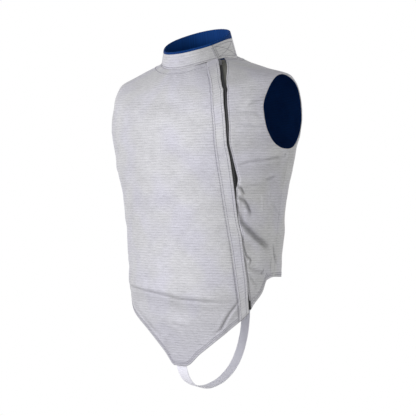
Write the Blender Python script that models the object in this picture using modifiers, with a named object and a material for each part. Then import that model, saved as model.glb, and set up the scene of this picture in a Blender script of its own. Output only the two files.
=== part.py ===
"""Foil lame: a fencer's sleeveless over-vest of metal-thread cloth, hollow and open as it is worn.

Metres, +Z up, front towards -Y, the wearer's left towards +X. The origin is the middle of the neck
opening at the height of its side points, where the wearer's neck and shoulders hold the vest.

The cloth follows one form of rings. A ring is named by the height of its side points, side_z, and is
an ellipse seen from above, with one depth in front and another behind, bent so that its front and
back centres may lie lower than its sides. An angle on a ring is counted in degrees from the front
centre towards the wearer's left, so 90 is the wearer's left side and 180 the back centre.
"""
import math

import bmesh
import bpy
import numpy as np
from mathutils import Matrix, Vector

CM = 0.01
MM = 0.001

# Walls and gaps
SEAM_GAP = 0.3 * MM
SIDE_GAP = 0.4 * MM
LINING_SIDE_GAP = 0.5 * MM
CLOTH_WALL = 1.4 * MM
LINING_WALL = 1.0 * MM
LINING_AIR = 0.8 * MM
LINING_DEPTH = CLOTH_WALL + LINING_AIR
PLACKET_WALL = 1.8 * MM
COLLAR_WALL = 1.6 * MM
COLLAR_LINING_WALL = 1.2 * MM

# The form's rings, in cm, from the neck down to the front's tip
RING_COLUMNS = ("side_z", "half_width", "side_y", "front_depth", "back_depth", "front_z", "back_z")
RINGS_CM = (
    (0.0, 7.9, -1.2, 7.6, 7.0, -2.4, 2.0),
    (-0.9, 10.8, -1.1, 8.8, 8.4, -4.2, 0.6),
    (-2.2, 15.0, -0.6, 10.5, 10.2, -6.8, -2.0),
    (-3.9, 20.2, 0.2, 12.1, 11.6, -9.6, -5.8),
    (-7.5, 21.9, 0.3, 13.0, 12.6, -12.3, -9.6),
    (-12.0, 22.3, 0.2, 13.2, 13.2, -15.0, -13.4),
    (-15.0, 22.0, 0.1, 13.22, 13.2, -16.9, -16.0),
    (-18.0, 21.2, 0.0, 13.14, 12.9, -18.0, -18.0),
    (-24.0, 19.8, 0.0, 12.6, 12.1, -24.0, -24.0),
    (-31.0, 18.5, 0.0, 11.85, 11.5, -31.0, -31.0),
    (-38.0, 17.7, 0.0, 11.3, 11.6, -38.0, -38.0),
    (-44.0, 17.3, 0.0, 11.1, 12.2, -44.0, -44.0),
    (-52.0, 16.9, 0.2, 10.3, 12.6, -52.0, -52.0),
    (-62.0, 16.4, 0.6, 8.6, 12.8, -62.0, -62.0),
)

# Side and shoulder seams run along this angle on both sides
SEAM_ANGLE = 91.0

# Armhole: an oval seen from the side, narrower at the shoulder than under the arm
ARMHOLE_TOP = -3.8 * CM
ARMHOLE_BOTTOM = -18.4 * CM
ARMHOLE_FRONT_Y = -6.2 * CM
ARMHOLE_BACK_Y = 4.6 * CM
ARMHOLE_ROUND_TOP, ARMHOLE_ROUND_BOTTOM = 1.75, 2.3
ARMHOLE_POINTS = 44
ARMHOLE_REACH = 30.0 * CM
LINING_SETBACK = 2.5 * MM
LINING_HEM = 6.0 * MM

# Hem height by angle, all the way round: a pointed front with a blunt tip, nearly level behind
HEM_COLUMNS = ("angle", "side_z")
HEM_CM = (
    (-91.0, -43.4),
    (-81.0, -43.9),
    (-76.0, -46.2),
    (-60.0, -49.9),
    (-43.5, -51.9),
    (-30.5, -53.8),
    (-19.5, -56.2),
    (-10.8, -58.7),
    (-3.4, -61.3),
    (6.2, -61.3),
    (19.5, -58.7),
    (30.0, -56.6),
    (45.0, -53.6),
    (62.8, -49.9),
    (66.2, -48.7),
    (75.8, -46.2),
    (80.8, -43.9),
    (91.0, -43.4),
    (135.0, -44.0),
    (180.0, -44.6),
    (225.0, -44.0),
    (269.0, -43.4),
)
TIP_RIGHT_ANGLE = -3.4
TIP_LEFT_ANGLE = 6.2

# Front opening: the placket's stitched seam and free edge, and how far the zip beneath is moved
# from that edge towards the wearer's left
OPENING_COLUMNS = ("side_z", "placket_seam", "placket_edge", "zip_shift")
OPENING_CM = (
    (0.0, 48.0, 63.3, 0.0),
    (-0.5, 44.3, 57.9, 0.0),
    (-1.2, 40.2, 51.5, 0.0),
    (-1.9, 37.7, 46.4, 0.0),
    (-2.7, 34.4, 41.3, 0.0),
    (-3.4, 31.2, 38.1, 0.0),
    (-4.8, 30.1, 36.7, 0.0),
    (-6.8, 30.0, 36.5, 0.0),
    (-9.0, 30.4, 36.9, 0.0),
    (-13.2, 31.2, 37.6, 0.0),
    (-17.4, 33.1, 39.7, 0.0),
    (-20.9, 35.3, 42.6, 0.0),
    (-24.9, 38.2, 45.6, -0.1),
    (-28.2, 40.4, 47.8, -0.3),
    (-32.6, 43.5, 50.9, -0.55),
    (-35.0, 45.3, 53.5, -0.65),
    (-37.8, 47.5, 55.3, -0.65),
    (-40.6, 49.3, 57.1, -0.62),
    (-44.5, 51.8, 59.8, -0.5),
    (-47.8, 53.5, 60.7, -0.2),
    (-52.0, 54.5, 61.5, -0.1),
)
ZIP_CENTRE = 3.7 * MM
FRONT_EDGE = -3.5 * MM
LEFT_EDGE = 7.5 * MM
TAPE_RIGHT = -9.0 * MM
TAPE_LEFT = 17.0 * MM
TAPE_GAP = 0.8 * MM
TAPE_HEM = 2.5 * MM
PLACKET_LIFT = 2.0 * MM
PLACKET_RISE = (0.0, 0.15, 0.4, 0.7, 1.0)

# Largest folds: soft ridges from one point of the cloth to another
FOLD_COLUMNS = ("start_angle", "start_z", "end_angle", "end_z", "half_width", "height_mm")
FOLDS = (
    (-66.0, -44.9, 8.0, -46.6, 2.2, 3.0),
    (8.0, -46.6, 50.0, -47.4, 2.2, 2.6),
    (-44.0, -50.6, 8.0, -52.6, 2.4, 1.6),
    (61.0, -33.4, 82.0, -38.4, 2.2, 3.4),
    (58.0, -25.4, 70.0, -31.0, 2.2, 1.8),
    (56.0, -20.6, 82.0, -20.2, 2.4, 1.8),
    (-84.0, -33.6, -58.0, -38.6, 2.4, 2.6),
    (-82.0, -21.0, -52.0, -22.4, 2.4, 1.8),
    (112.0, -35.0, 160.0, -40.6, 2.6, 3.0),
    (246.0, -33.6, 202.0, -38.8, 2.6, 3.0),
    (150.0, -27.4, 214.0, -28.2, 2.8, 2.0),
)
RING_CM_PER_DEGREE = 0.28

# Small steps along the form, for its slopes, and how often a row settles onto the hem
TURN_STEP = 0.25
WIDE_TURN_STEP = 0.5
HEIGHT_STEP = 0.5 * MM
SETTLE_ROUNDS = 8

# Rows and columns of the cloth walls
WAIST_Z = -38.0 * CM
FRONT_LOWER_ROWS = 7
BACK_LOWER_ROWS = 3
BODY_ROWS = 8
ARMHOLE_ROWS = 6
SHOULDER_ROWS = 5
BACK_COLUMNS = 22

# Collar: its rim is a ring that leans forward
COLLAR_START = 48.0
COLLAR_END = 424.0
COLLAR_COLUMNS = 42
COLLAR_ROWS = 3
RIM_RADIUS = 7.1 * CM
RIM_Y = -2.5 * CM
RIM_MIDDLE_Z = 3.45 * CM
RIM_LEAN = 3.0 * CM
# The rim is drawn in at the wearer's right front, and the metal cloth dips below the lining's roll
# at the left back: how much, at which angle, and over how many degrees
RIM_DRAWN_IN, RIM_DRAWN_AT, RIM_DRAWN_OVER = 0.5 * CM, 310.0, 40.0
RIM_DIP, RIM_DIP_AT, RIM_DIP_OVER = 0.8 * CM, 128.0, 26.0
OVERLAP_LIFT = COLLAR_WALL + COLLAR_LINING_WALL + 2 * SEAM_GAP
OVERLAP_RISE_FROM = 378.0
OVERLAP_RISE_TO = 404.0
# Its lining's section: depth in from the collar's face, measured from the rim (1) or the base (0),
# and whether the corner dips with the metal cloth
COLLAR_LINING_COLUMNS = ("depth_mm", "from_rim", "rise_mm", "dips")
COLLAR_LINING_SECTION = (
    (1.9, 0, 0.5, 0),
    (1.9, 1, 0.3, 1),
    (0.1, 1, 0.3, 1),
    (0.1, 1, 3.2, 0),
    (0.8, 1, 4.6, 0),
    (2.0, 1, 4.9, 0),
    (3.1, 1, 4.2, 0),
    (3.1, 0, 0.5, 0),
)

# Crotch strap: from inside the front's tip, under and up to the back hem
STRAP_COLUMNS = ("x", "y", "z", "width", "tilt")
STRAP_CM = (
    (0.45, -8.2, -58.9, 2.4, 0.0),
    (0.45, -7.66, -61.3, 2.4, 0.0),
    (0.45, -6.8, -63.3, 2.3, 0.0),
    (0.5, -5.0, -65.1, 2.1, 5.0),
    (0.55, -2.6, -66.1, 2.0, 8.0),
    (0.6, 0.2, -66.5, 2.0, 10.0),
    (0.7, 3.6, -66.0, 2.0, 10.0),
    (0.85, 7.2, -64.4, 2.0, 9.0),
    (0.95, 10.1, -61.8, 2.0, 6.0),
    (1.05, 11.7, -58.9, 2.0, 3.0),
    (1.15, 12.7, -55.4, 2.0, 0.0),
    (1.15, 13.1, -52.0, 2.0, 0.0),
    (1.1, 12.8, -48.6, 2.0, 0.0),
    (1.0, 11.85, -45.3, 2.0, 0.0),
    (0.9, 11.5, -43.6, 2.0, 0.0),
    (0.9, 11.42, -42.2, 2.0, 0.0),
)
STRAP_WALL = 1.5 * MM
STRAP_RINGS = 42

# Zip
TAPE_WALL = 0.7 * MM
TAPE_AIR = 0.5 * MM
CHAIN_WIDTH = 5.0 * MM
CHAIN_WALL = 1.2 * MM
CHAIN_DEPTH = 0.2 * MM
ZIP_TOP_Z = -0.12 * CM
SLIDER_Z = -0.48 * CM
SLIDER_WIDTH, SLIDER_LENGTH, SLIDER_PLATE = 6.4 * MM, 10.0 * MM, 1.2 * MM
BRIDGE_WIDTH, BRIDGE_LENGTH, BRIDGE_HEIGHT = 1.6 * MM, 9.0 * MM, 3.0 * MM
BRIDGE_WINDOW_LENGTH, BRIDGE_WINDOW_HEIGHT = 7.2 * MM, 2.1 * MM
PULL_WIDTH, PULL_LENGTH, PULL_WALL = 4.4 * MM, 17.0 * MM, 0.8 * MM
PULL_END, PULL_CORNER, PULL_EYE_CORNER = 0.6 * MM, 0.9 * MM, 0.3 * MM
PULL_EYE_WIDTH, PULL_EYE_LENGTH = 2.6 * MM, 5.2 * MM
PULL_AXIS_HEIGHT = 1.05 * MM
PULL_TILT = math.radians(2.5)
ZIP_BOX_Z = -48.75 * CM
ZIP_BOX_WIDTH, ZIP_BOX_LENGTH, ZIP_BOX_WALL = 7.0 * MM, 17.0 * MM, 1.4 * MM
ZIP_BOX_OUT = 0.1 * MM

# Colours, roughness and metallic values
SILVER = ((0.62, 0.62, 0.65, 1.0), 0.55, 0.35)
STRAP_WHITE = ((0.74, 0.73, 0.82, 1.0), 0.8, 0.0)
LINING_BLUE = ((0.012, 0.055, 0.21, 1.0), 0.75, 0.0)
TAPE_GREY = ((0.05, 0.05, 0.055, 1.0), 0.8, 0.0)
CHAIN_GREY = ((0.12, 0.12, 0.13, 1.0), 0.45, 0.2)
METAL = ((0.5, 0.5, 0.52, 1.0), 0.3, 1.0)
BLACK = ((0.01, 0.01, 0.012, 1.0), 0.5, 0.0)


def table(rows, columns):
    """The table's columns by name, as arrays."""
    values = np.array(rows, dtype=float)
    return {name: values[:, index] for index, name in enumerate(columns)}


def smooth(x, y):
    """A curve through the points that never swings past them, as a function of x."""
    order = np.argsort(x)
    x, y = np.asarray(x)[order], np.asarray(y)[order]
    step, rise = np.diff(x), np.diff(y) / np.diff(x)
    slope = np.empty_like(y)
    slope[0], slope[-1] = rise[0], rise[-1]
    first = 2 * step[1:] + step[:-1]
    second = step[1:] + 2 * step[:-1]
    same = rise[:-1] * rise[1:] > 0
    low, high = np.where(same, rise[:-1], 1.0), np.where(same, rise[1:], 1.0)
    slope[1:-1] = np.where(same, (first + second) / (first / low + second / high), 0.0)

    def at(value):
        value = np.clip(value, x[0], x[-1])
        k = np.clip(np.searchsorted(x, value) - 1, 0, len(x) - 2)
        t = (value - x[k]) / step[k]
        start = (1 + 2 * t) * (1 - t) ** 2 * y[k] + t * (1 - t) ** 2 * step[k] * slope[k]
        end = t * t * (3 - 2 * t) * y[k + 1] + t * t * (t - 1) * step[k] * slope[k + 1]
        return start + end

    return at


def curves(rows, columns, scale):
    """Each of the table's columns as a smooth function of its first, in metres."""
    values = table(rows, columns)
    key = values[columns[0]]
    return {name: smooth(key * scale[0], values[name] * factor)
            for name, factor in zip(columns[1:], scale[1:])}


RING = curves(RINGS_CM, RING_COLUMNS, (CM,) * 7)
OPENING = curves(OPENING_CM, OPENING_COLUMNS, (CM, 1.0, 1.0, CM))
HEM = curves(HEM_CM, HEM_COLUMNS, (1.0, CM))["side_z"]


def form(angle, side_z):
    """The point of the form at an angle on the ring side_z."""
    turn = np.radians(angle)
    sine, cosine = np.sin(turn), np.cos(turn)
    front = cosine > 0
    depth = np.where(front, RING["front_depth"](side_z), RING["back_depth"](side_z))
    centre_z = np.where(front, RING["front_z"](side_z), RING["back_z"](side_z))
    x = RING["half_width"](side_z) * sine
    y = RING["side_y"](side_z) - depth * cosine
    z = side_z + (centre_z - side_z) * cosine ** 2
    return np.stack([x, y, z], -1)


def unit(vectors):
    """The vectors at length 1."""
    return vectors / np.linalg.norm(vectors, axis=-1, keepdims=True)


def outward(angle, side_z):
    """The form's normal, away from the wearer."""
    across = form(angle + TURN_STEP, side_z) - form(angle - TURN_STEP, side_z)
    up = form(angle, side_z) - form(angle, side_z - HEIGHT_STEP)
    return unit(np.cross(across, up))


def beside(angle, side_z, distance):
    """The angle that lies a distance along the ring, towards the wearer's left."""
    chord = form(angle + WIDE_TURN_STEP, side_z) - form(angle - WIDE_TURN_STEP, side_z)
    return angle + distance * 2 * WIDE_TURN_STEP / np.linalg.norm(chord, axis=-1)


def fold_lift(angle, side_z):
    """How far the folds raise the cloth: a soft ridge along each fold's line."""
    across = angle * RING_CM_PER_DEGREE
    lift = np.zeros(np.broadcast(angle, side_z).shape)
    for start_angle, start_z, end_angle, end_z, half_width, height in FOLDS:
        start = np.array([start_angle * RING_CM_PER_DEGREE, start_z])
        run = np.array([end_angle * RING_CM_PER_DEGREE, end_z]) - start
        length = np.hypot(*run)
        ahead = (across - start[0]) * run[0] / length + (side_z / CM - start[1]) * run[1] / length
        aside = (side_z / CM - start[1]) * run[0] / length - (across - start[0]) * run[1] / length
        past = np.maximum(0.0, np.maximum(-ahead, ahead - length))
        lift += height * MM * np.exp(-(aside ** 2 + past ** 2) / half_width ** 2)
    return lift


def cloth(angle, side_z, out=0.0):
    """A point of the folded cloth, moved out from its face."""
    reach = fold_lift(angle, side_z) + out
    return form(angle, side_z) + outward(angle, side_z) * reach[..., None]


def inside(angle, side_z, depth):
    """A point that lies inside the unfolded form."""
    return form(angle, side_z) - outward(angle, side_z) * depth


def side_edges(gap):
    """The lines of the front's and the back's edge at the side and shoulder seam on the left."""
    return (lambda z: beside(SEAM_ANGLE, z, -gap / 2)), (lambda z: beside(SEAM_ANGLE, z, gap / 2))


def zip_line(distance):
    """A line that runs beside the placket's free edge and follows the zip's shift."""
    return lambda z: beside(OPENING["placket_edge"](z), z, distance + OPENING["zip_shift"](z))


def upper_heights(top=0.0):
    """The heights of the rows above the waist, the same in every panel."""
    body = np.linspace(WAIST_Z, ARMHOLE_BOTTOM, BODY_ROWS + 1)
    armhole = np.linspace(ARMHOLE_BOTTOM, ARMHOLE_TOP, ARMHOLE_ROWS + 1)[1:]
    shoulder = np.linspace(ARMHOLE_TOP, top, SHOULDER_ROWS + 1)[1:]
    return np.concatenate([body, armhole, shoulder])


def places(lines, counts, lower_rows, hem_margin=0.0, top=0.0):
    """Angles and heights of a panel's grid, from the hem up.

    The lines are the panel's edges and what its columns follow between them, each a function of
    height, and the counts say how many columns lie between one line and the next.
    """
    share = [np.linspace(k, k + 1, count + 1)[1:] for k, count in enumerate(counts)]
    column = np.concatenate([[0.0]] + share)
    known = np.arange(len(lines))
    upper = upper_heights(top)
    angles, heights = [], []
    for row in range(lower_rows + len(upper)):
        if row >= lower_rows:
            z = np.full(len(column), upper[row - lower_rows])
            angle = np.array([np.interp(c, known, [line(z[0]) for line in lines]) for c in column])
        else:
            z = np.full(len(column), WAIST_Z)
            for settle in range(SETTLE_ROUNDS):
                angle = np.array([np.interp(c, known, [line(height) for line in lines])
                                  for c, height in zip(column, z)])
                hem = HEM(angle) + hem_margin
                z = hem + (WAIST_Z - hem) * row / lower_rows
        angles.append(angle)
        heights.append(z)
    return np.array(angles), np.array(heights)


def material(name, look):
    """A plain Principled material."""
    color, roughness, metallic = look
    made = bpy.data.materials.new(name)
    made.use_nodes = True
    shader = made.node_tree.nodes["Principled BSDF"]
    shader.inputs["Base Color"].default_value = color
    shader.inputs["Roughness"].default_value = roughness
    shader.inputs["Metallic"].default_value = metallic
    made.diffuse_color = color
    return made


def add(name, mesh_maker, look, collection):
    """A new object in the collection, from a function that fills a bmesh."""
    bm = bmesh.new()
    mesh_maker(bm)
    mesh = bpy.data.meshes.new(name)
    bm.to_mesh(mesh)
    bm.free()
    mesh.shade_smooth()
    mesh.materials.append(material(name, look))
    made = bpy.data.objects.new(name, mesh)
    collection.objects.link(made)
    return made


def sheet(name, points, wall, look, collection):
    """A cloth wall: a grid whose vertices are moved to the outer points, thickened inwards."""
    rows, columns = points.shape[:2]

    def fill(bm):
        bmesh.ops.create_grid(bm, x_segments=columns - 1, y_segments=rows - 1, size=1.0)
        for vertex in bm.verts:
            column = round((vertex.co.x + 1) / 2 * (columns - 1))
            row = round((vertex.co.y + 1) / 2 * (rows - 1))
            vertex.co = Vector(points[row, column])

    made = add(name, fill, look, collection)
    thickness = made.modifiers.new("Wall", "SOLIDIFY")
    thickness.thickness = wall
    thickness.offset = -1.0
    thickness.use_even_offset = True
    return made


def loft(name, rings, look, collection):
    """A closed body through rings of points, with flat ends."""
    count, size = rings.shape[:2]

    def fill(bm):
        verts = [[bm.verts.new(point) for point in ring] for ring in rings]
        for first, second in zip(verts, verts[1:]):
            for k in range(size):
                after = (k + 1) % size
                bm.faces.new((first[k], first[after], second[after], second[k]))
        bm.faces.new(verts[0])
        bm.faces.new(verts[-1])
        bmesh.ops.recalc_face_normals(bm, faces=bm.faces)

    return add(name, fill, look, collection)


def strip(name, right, left, outer_depth, wall, look, collection):
    """A narrow flat strip that follows two lines inside the form, from the hem to the neck."""
    angles, heights = places([right, left], [1], FRONT_LOWER_ROWS, TAPE_HEM, ZIP_TOP_Z)
    outer = inside(angles, heights, outer_depth)
    inner = inside(angles, heights, outer_depth + wall)
    rings = np.stack([outer[:, 0], outer[:, 1], inner[:, 1], inner[:, 0]], 1)
    return loft(name, rings, look, collection)


def armhole_cutter(name, margin, cutters):
    """A long bar across the vest, whose oval section is the armhole's outline."""
    turn = np.linspace(0.0, 2 * math.pi, ARMHOLE_POINTS, endpoint=False)
    sine, cosine = np.sin(turn), np.cos(turn)
    middle_y, middle_z = (ARMHOLE_FRONT_Y + ARMHOLE_BACK_Y) / 2, (ARMHOLE_TOP + ARMHOLE_BOTTOM) / 2
    half_y = (ARMHOLE_BACK_Y - ARMHOLE_FRONT_Y) / 2 + margin
    half_z = (ARMHOLE_TOP - ARMHOLE_BOTTOM) / 2 + margin
    power = 2 / np.where(sine > 0, ARMHOLE_ROUND_TOP, ARMHOLE_ROUND_BOTTOM)
    y = middle_y + half_y * np.sign(cosine) * np.abs(cosine) ** power
    z = middle_z + half_z * np.sign(sine) * np.abs(sine) ** power
    rings = [np.stack([0 * y + x, y, z], -1) for x in (-ARMHOLE_REACH, ARMHOLE_REACH)]
    made = loft(name, np.array(rings), SILVER, cutters)
    made.hide_render = True
    made.display_type = "WIRE"
    return made


def build_panels(collection, cutters):
    """The three outer panels and their linings, each with its armholes cut out."""
    def panel(name, lines, counts, lower_rows):
        angles, heights = places(lines, counts, lower_rows)
        made = sheet(name, cloth(angles, heights), CLOTH_WALL, SILVER, collection)
        made.modifiers.new("Armhole", "BOOLEAN").object = armhole

    def lining(name, lines, counts, lower_rows):
        angles, heights = places(lines, counts, lower_rows, LINING_HEM)
        made = sheet(name, inside(angles, heights, LINING_DEPTH), LINING_WALL, LINING_BLUE, collection)
        made.modifiers.new("Armhole", "BOOLEAN").object = wide_armhole

    armhole = armhole_cutter("armhole", 0.0, cutters)
    wide_armhole = armhole_cutter("wide_armhole", LINING_SETBACK, cutters)
    tip = [lambda z: TIP_RIGHT_ANGLE, lambda z: TIP_LEFT_ANGLE]
    front_side, back_side = side_edges(SIDE_GAP)
    front_right = [lambda z: -front_side(z)] + tip
    back = [back_side, lambda z: 360.0 - back_side(z)]
    panel("front", front_right + [OPENING["placket_seam"], zip_line(FRONT_EDGE)], [11, 2, 5, 3],
          FRONT_LOWER_ROWS)
    panel("left_front", [zip_line(LEFT_EDGE), front_side], [8], FRONT_LOWER_ROWS)
    panel("back", back, [BACK_COLUMNS], BACK_LOWER_ROWS)

    lining_side, lining_back_side = side_edges(LINING_SIDE_GAP)
    lining_right = [lambda z: -lining_side(z)] + tip
    lining_behind = [lining_back_side, lambda z: 360.0 - lining_back_side(z)]
    lining("lining_front", lining_right + [zip_line(TAPE_RIGHT - TAPE_GAP)], [6, 1, 4],
           FRONT_LOWER_ROWS)
    lining("lining_left_front", [zip_line(TAPE_LEFT + TAPE_GAP), lining_side], [4], FRONT_LOWER_ROWS)
    lining("lining_back", lining_behind, [BACK_COLUMNS // 2], BACK_LOWER_ROWS)


def build_placket(collection):
    """The placket: the front's own edge points moved out, and a free edge that stands off."""
    angles, heights = places(
        [OPENING["placket_seam"], zip_line(FRONT_EDGE), OPENING["placket_edge"]],
        [3, 1], FRONT_LOWER_ROWS, 0.0, ZIP_TOP_Z)
    rise = np.broadcast_to(PLACKET_LIFT * np.array(PLACKET_RISE), angles.shape)
    out = SEAM_GAP + PLACKET_WALL + rise
    sheet("placket", cloth(angles, heights, out), PLACKET_WALL, SILVER, collection)


def collar_lift(angle):
    """How far the collar's front end stands off, to lie over its other end."""
    t = np.clip((angle - OVERLAP_RISE_FROM) / (OVERLAP_RISE_TO - OVERLAP_RISE_FROM), 0.0, 1.0)
    return OVERLAP_LIFT * t * t * (3 - 2 * t)


def collar_lines(angle):
    """The collar's base and rim points with the overlap's lift, and how far the cloth dips."""
    turn = np.radians(angle)
    away = np.stack([np.sin(turn), -np.cos(turn), np.zeros_like(turn)], -1)
    lift = away * collar_lift(angle)[:, None]
    base = form(angle, 0.0 * angle) + np.array([0.0, 0.0, SEAM_GAP]) + lift
    rim_z = RIM_MIDDLE_Z - RIM_LEAN * np.cos(turn)
    radius = RIM_RADIUS - RIM_DRAWN_IN * np.exp(-((angle - RIM_DRAWN_AT) / RIM_DRAWN_OVER) ** 2)
    rim = away * radius[:, None] + np.stack([0 * turn, RIM_Y + 0 * turn, rim_z], -1) + lift
    dip = RIM_DIP * np.exp(-((angle - RIM_DIP_AT) / RIM_DIP_OVER) ** 2)
    return base, rim, away, dip[:, None]


def build_collar(collection):
    """The standing collar, one band whose front end laps over the other, and its lining."""
    angle = np.linspace(COLLAR_START, COLLAR_END, COLLAR_COLUMNS + 1)
    base, rim, away, dip = collar_lines(angle)
    up = unit(rim - base)
    share = np.linspace(0.0, 1.0, COLLAR_ROWS + 1)[:, None, None]
    sheet("collar", base + (rim - up * dip - base) * share, COLLAR_WALL, SILVER, collection)

    inward = -unit(away - up * np.sum(away * up, -1, keepdims=True))
    rings = [np.where(from_rim, rim, base) + up * (rise * MM - dips * dip) + inward * depth * MM
             for depth, from_rim, rise, dips in COLLAR_LINING_SECTION]
    loft("collar_lining", np.stack(rings, 1), LINING_BLUE, collection)


def build_strap(collection):
    """The elastic strap, a flat band through its route's points."""
    route = np.array(STRAP_CM) * np.array([CM, CM, CM, CM, 1.0])
    run = np.concatenate([[0.0], np.cumsum(np.linalg.norm(np.diff(route[:, :3], axis=0), axis=1))])
    along = np.linspace(0.0, run[-1], STRAP_RINGS)
    x, y, z, width, tilt = (smooth(run, route[:, k])(along) for k in range(5))
    centre = np.stack([x, y, z], -1)
    forward = unit(np.gradient(centre, along, axis=0))
    across = np.stack([np.cos(np.radians(tilt)), 0 * tilt, -np.sin(np.radians(tilt))], -1)
    across = unit(across - forward * np.sum(across * forward, -1, keepdims=True))
    face = np.cross(forward, across)
    half, thick = across * width[:, None] / 2, face * STRAP_WALL / 2
    rings = np.stack([centre - half - thick, centre + half - thick,
                      centre + half + thick, centre - half + thick], 1)
    loft("crotch_strap", rings, STRAP_WHITE, collection)


def zip_frame(side_z, out):
    """A frame on the zip's middle: x towards the wearer's left, y up the zip, z away from it."""
    def middle(z):
        return form(zip_line(ZIP_CENTRE)(z), z)

    height = np.array(side_z)
    angle = zip_line(ZIP_CENTRE)(height)
    away = Vector(outward(angle, height))
    up = Vector(middle(height + HEIGHT_STEP) - middle(height - HEIGHT_STEP))
    up = (up - away * up.dot(away)).normalized()
    side = up.cross(away)
    frame = Matrix((side, up, away)).transposed().to_4x4()
    frame.translation = Vector(middle(height)) + away * out
    return frame


def block(name, size, centre, look, collection):
    """A box of a size about a centre, in its own frame."""
    def fill(bm):
        bmesh.ops.create_cube(bm, size=1.0)
        for vertex in bm.verts:
            vertex.co = Vector([c * s + m for c, s, m in zip(vertex.co, size, centre)])

    made = add(name, fill, look, collection)
    made.data.shade_flat()
    return made


def build_slider(collection, cutters):
    """The slider: a plate with a hollow bridge that holds the pull."""
    frame = zip_frame(SLIDER_Z, SEAM_GAP)
    plate = block("zip_slider", (SLIDER_WIDTH, SLIDER_LENGTH, SLIDER_PLATE),
                  (0, 0, SLIDER_PLATE / 2), METAL, collection)
    rooted = BRIDGE_HEIGHT + SLIDER_PLATE / 2
    bridge = block("bridge", (BRIDGE_WIDTH, BRIDGE_LENGTH, rooted),
                   (0, 0, SLIDER_PLATE + BRIDGE_HEIGHT - rooted / 2), METAL, cutters)
    window = block("window", (BRIDGE_WIDTH * 2, BRIDGE_WINDOW_LENGTH, BRIDGE_WINDOW_HEIGHT),
                   (0, 0, SLIDER_PLATE + BRIDGE_WINDOW_HEIGHT / 2), METAL, cutters)
    for tool, operation in ((bridge, "UNION"), (window, "DIFFERENCE")):
        tool.hide_render = True
        tool.display_type = "WIRE"
        tool.matrix_world = frame
        step = plate.modifiers.new(tool.name, "BOOLEAN")
        step.operation = operation
        step.object = tool
    plate.matrix_world = frame


def rounded(left, right, bottom, top, corner, steps=4):
    """An upright rectangle with round corners, counter-clockwise."""
    centres = ((right - corner, bottom + corner, -90), (right - corner, top - corner, 0),
               (left + corner, top - corner, 90), (left + corner, bottom + corner, 180))
    turns = np.linspace(0.0, 90.0, steps + 1)
    return [(x + corner * math.cos(math.radians(start + turn)),
             y + corner * math.sin(math.radians(start + turn)))
            for x, y, start in centres for turn in turns]


def build_pull(collection):
    """The pull tab: a flat plate with an eye round the bridge, its origin on its hinge's axis."""
    outlines = (
        rounded(-PULL_WIDTH / 2, PULL_WIDTH / 2, -PULL_LENGTH, PULL_END, PULL_CORNER),
        rounded(-PULL_EYE_WIDTH / 2, PULL_EYE_WIDTH / 2, -PULL_EYE_LENGTH, -PULL_END,
                PULL_EYE_CORNER),
    )
    curve = bpy.data.curves.new("zip_pull", "CURVE")
    curve.dimensions = "2D"
    curve.fill_mode = "BOTH"
    curve.extrude = PULL_WALL / 2
    for outline in outlines:
        spline = curve.splines.new("POLY")
        spline.points.add(len(outline) - 1)
        for point, (x, y) in zip(spline.points, outline):
            point.co = (x, y, 0.0, 1.0)
        spline.use_cyclic_u = True
    curve.materials.append(material("zip_pull", METAL))
    pull = bpy.data.objects.new("zip_pull", curve)
    collection.objects.link(pull)
    frame = zip_frame(SLIDER_Z, SEAM_GAP + SLIDER_PLATE + PULL_AXIS_HEIGHT)
    pull.matrix_world = frame @ Matrix.Rotation(PULL_TILT, 4, "X")


def build_zip(collection, cutters):
    """The closed zip: two tapes, the chain, its box at the bottom, the slider and its pull."""
    half_gap = SEAM_GAP / 2
    depth = CLOTH_WALL + TAPE_AIR
    strip("zip_tape_right", zip_line(TAPE_RIGHT), zip_line(ZIP_CENTRE - half_gap), depth, TAPE_WALL,
          TAPE_GREY, collection)
    strip("zip_tape_left", zip_line(ZIP_CENTRE + half_gap), zip_line(TAPE_LEFT), depth, TAPE_WALL,
          TAPE_GREY, collection)
    strip("zip_chain", zip_line(ZIP_CENTRE - CHAIN_WIDTH / 2), zip_line(ZIP_CENTRE + CHAIN_WIDTH / 2),
          CHAIN_DEPTH, CHAIN_WALL, CHAIN_GREY, collection)
    box = block("zip_box", (ZIP_BOX_WIDTH, ZIP_BOX_LENGTH, ZIP_BOX_WALL), (0, 0, ZIP_BOX_WALL / 2),
                BLACK, collection)
    box.matrix_world = zip_frame(ZIP_BOX_Z, ZIP_BOX_OUT)
    build_slider(collection, cutters)
    build_pull(collection)


def main():
    """Clear the scene and build the vest."""
    for old in list(bpy.data.objects):
        bpy.data.objects.remove(old, do_unlink=True)
    collection = bpy.data.collections.new("Foil lame")
    cutters = bpy.data.collections.new("Cutters")
    bpy.context.scene.collection.children.link(collection)
    bpy.context.scene.collection.children.link(cutters)
    build_panels(collection, cutters)
    build_placket(collection)
    build_collar(collection)
    build_strap(collection)
    build_zip(collection, cutters)


main()
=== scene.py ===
"""Foil lame: a fencer's sleeveless over-vest of metal-thread cloth, hollow and open as it is worn.

The finer cloth of the vest over its solids: panels with their creases, turned edges and stitching,
the lapped collar, the zip's teeth and the strap. Metres, +Z up, front towards -Y, the wearer's left
towards +X. An angle is counted in degrees from the front centre towards the wearer's left, so 90 is
the wearer's left side and 180 the back centre. side_z is the height of one of the form's rings at
its sides: near the shoulders the ring's front and back lie lower.
"""
import math

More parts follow.
